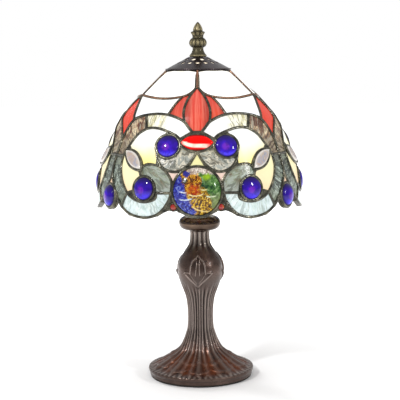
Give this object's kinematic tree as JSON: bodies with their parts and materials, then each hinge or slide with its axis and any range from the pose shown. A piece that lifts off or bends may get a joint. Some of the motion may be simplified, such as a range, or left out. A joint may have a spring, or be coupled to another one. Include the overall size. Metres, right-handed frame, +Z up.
{
  "type": "leaded glass table lamp",
  "caption": "Small table lamp with a domed leaded-glass shade set with glass jewels, on a ribbed bronze foot, with harp, lampholder and bulb inside.",
  "frame": {"origin": "centre of the felt pad's underside, where the lamp stands", "axes": "+Z up along the lamp pipe, front motif with the globe jewel facing -Y, +X to the right"},
  "size_m": [0.2072, 0.209, 0.354],
  "materials": {
    "white_opal": "rolled",
    "coral_glass": "rolled",
    "cream_ripple": "rolled",
    "amber_ripple": "rolled",
    "grey_ripple": "rolled",
    "blue_ripple": "rolled",
    "green_ripple": "rolled",
    "ivory_glass": "rolled",
    "clear_ripple": "rolled",
    "peach_glass": "rolled",
    "ruby_glass": "polished",
    "cobalt_glass": "polished",
    "mottled_glass": "polished",
    "clear_jewel": "polished",
    "patina_lead": "dark patina over solder",
    "bronze_casting": "semi-gloss bronze paint",
    "bronze_brass": "antique bronze",
    "antique_brass": "antique brass",
    "plated_steel": "zinc plated",
    "brass": "bright",
    "phenolic": "moulded",
    "fibre": "pressed fibre",
    "felt": "felt",
    "rubber": "moulded",
    "bulb_clear": "clear",
    "tungsten": "drawn wire"
  },
  "bodies": {
    "stand": {"base_casting": "bronze_casting", "felt_pad": "felt", "bottom_plate": "plated_steel", "bottom_washer": "plated_steel", "bottom_locknut": "plated_steel", "lamp_pipe": "plated_steel", "neck_collar": "bronze_brass", "harp_saddle": "antique_brass", "harp_bow": "antique_brass", "top_locknut": "plated_steel", "socket_cap": "brass", "socket_shell": "brass", "socket_insulator": "fibre", "socket_block": "phenolic", "socket_screws": "brass", "screw_shell": "brass", "centre_contact": "brass", "cord_bushing": "rubber"},
    "bulb": {"bulb_cap": "plated_steel", "bulb_tip": "plated_steel", "bulb_glass": "bulb_clear", "bulb_stem": "bulb_clear", "bulb_filament": "tungsten"},
    "swivel": {"swivel_stud": "plated_steel"},
    "shade": {"leading": "patina_lead", "vase_cap": "bronze_brass", "white_panel": "white_opal", "white_shoulder": "white_opal", "tulip_petal": "coral_glass", "tulip_side": "coral_glass", "single_petal": "coral_glass", "cream_band": "cream_ripple", "amber_band": "amber_ripple", "grey_band": "grey_ripple", "blue_band": "blue_ripple", "green_hook": "green_ripple", "yellow_heart": "ivory_glass", "cream_heart": "ivory_glass", "ripple_scroll": "clear_ripple", "cream_wedge": "ivory_glass", "peach_wedge": "peach_glass", "rim_wedge": "peach_glass", "red_navette": "ruby_glass", "bead_jewel": "ruby_glass", "upper_jewel": "cobalt_glass", "lower_jewel": "cobalt_glass", "rim_jewel": "cobalt_glass", "globe_jewel": "mottled_glass", "clear_marquise": "clear_jewel"},
    "finial_top": {"finial": "antique_brass"},
    "ferrule_left": {"left_ferrule": "antique_brass"},
    "ferrule_right": {"right_ferrule": "antique_brass"}
  },
  "joints": [
    {"name": "harp_swivel", "type": "hinge", "parent": "stand", "child": "swivel", "pos_m": [0, 0, 0.3125], "axis": [0, 0, 1], "continuous": true},
    {"name": "shade_lift", "type": "slide", "parent": "swivel", "child": "shade", "axis": [0, 0, 1], "range_m": [0, 0.2]},
    {"name": "finial_turn", "type": "hinge", "parent": "shade", "child": "finial_top", "pos_m": [0, 0, 0.33], "axis": [0, 0, 1], "continuous": true},
    {"name": "bulb_turn", "type": "hinge", "parent": "stand", "child": "bulb", "pos_m": [0, 0, 0.2], "axis": [0, 0, 1], "continuous": true},
    {"name": "left_ferrule_slide", "type": "slide", "parent": "stand", "child": "ferrule_left", "axis": [0, 0, 1], "range_m": [0, 0.012]},
    {"name": "right_ferrule_slide", "type": "slide", "parent": "stand", "child": "ferrule_right", "axis": [0, 0, 1], "range_m": [0, 0.012]}
  ]
}
